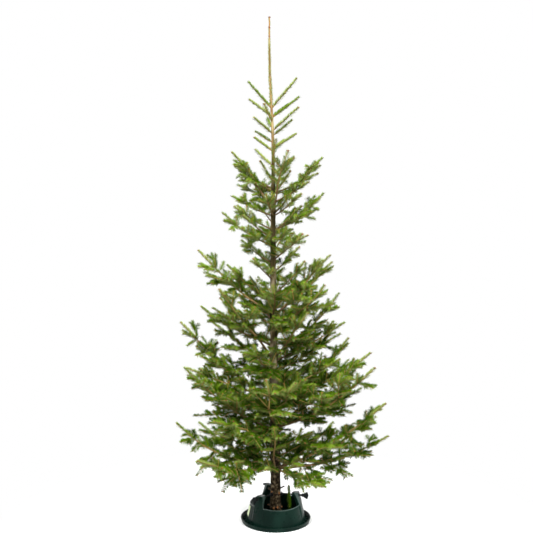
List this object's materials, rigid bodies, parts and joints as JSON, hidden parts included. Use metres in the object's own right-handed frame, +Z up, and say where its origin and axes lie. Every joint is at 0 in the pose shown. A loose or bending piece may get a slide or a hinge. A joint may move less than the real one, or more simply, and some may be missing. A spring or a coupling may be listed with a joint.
{
  "type": "cut christmas tree with stand",
  "caption": "Slender cut fir with a tall leader, upswept whorled boughs and flat sprays of needles, held in a round water stand by clamping screws.",
  "frame": {"origin": "centre of the stand's flat underside, on the surface that the tree stands on", "axes": "+Z up along the trunk; -Y is the side that was seen; +X is to its right"},
  "size_m": [0.9381, 0.8215, 2.197],
  "materials": {
    "bark": "rough grey-brown bark, yellow-brown on young twigs",
    "foliage": "glossy green needles, paler and greyer underneath",
    "stand_plastic": "moulded dark green plastic, satin",
    "screw_plastic": "moulded black plastic, satin"
  },
  "bodies": {
    "root": {"trunk": "bark", "bough_upper_left": "bark", "bough_upper_right": "bark", "bough_upper_front": "bark", "bough_middle_left": "bark", "bough_middle_right": "bark", "bough_middle_front_left": "bark", "bough_wide_left": "bark", "bough_wide_front_left": "bark", "bough_wide_front": "bark", "bough_low_right": "bark", "bough_low_front_right": "bark", "bough_low_front": "bark", "foliage_upper_left": "foliage", "foliage_upper_right": "foliage", "foliage_upper_front": "foliage", "foliage_upper_back": "foliage", "foliage_upper_back_left": "foliage", "foliage_high_left": "foliage", "foliage_high_right": "foliage", "foliage_high_front": "foliage", "foliage_high_back": "foliage", "foliage_middle_left": "foliage", "foliage_middle_right": "foliage", "foliage_middle_back_right": "foliage", "foliage_middle_front_left": "foliage", "foliage_middle_back": "foliage", "foliage_middle_back_left": "foliage", "foliage_inner_left": "foliage", "foliage_inner_right": "foliage", "foliage_inner_front": "foliage", "foliage_wide_left": "foliage", "foliage_wide_right": "foliage", "foliage_wide_front_right": "foliage", "foliage_wide_front_left": "foliage", "foliage_wide_front": "foliage", "foliage_wide_back_right": "foliage", "foliage_wide_back": "foliage", "foliage_low_right": "foliage", "foliage_low_front_right": "foliage", "foliage_low_left": "foliage", "foliage_low_front_left": "foliage", "foliage_low_front": "foliage", "foliage_low_front_droop": "foliage", "foliage_low_back_right": "foliage", "foliage_low_back": "foliage", "foliage_low_back_left": "foliage", "foliage_top_1": "foliage", "foliage_top_2": "foliage", "foliage_top_3": "foliage", "foliage_top_4": "foliage", "foliage_top_5": "foliage", "foliage_top_6": "foliage", "foliage_top_7": "foliage", "foliage_top_8": "foliage", "saucer": "stand_plastic", "screw_1": "screw_plastic", "screw_2": "screw_plastic", "screw_3": "screw_plastic", "bucket": "stand_plastic"}
  },
  "joints": []
}
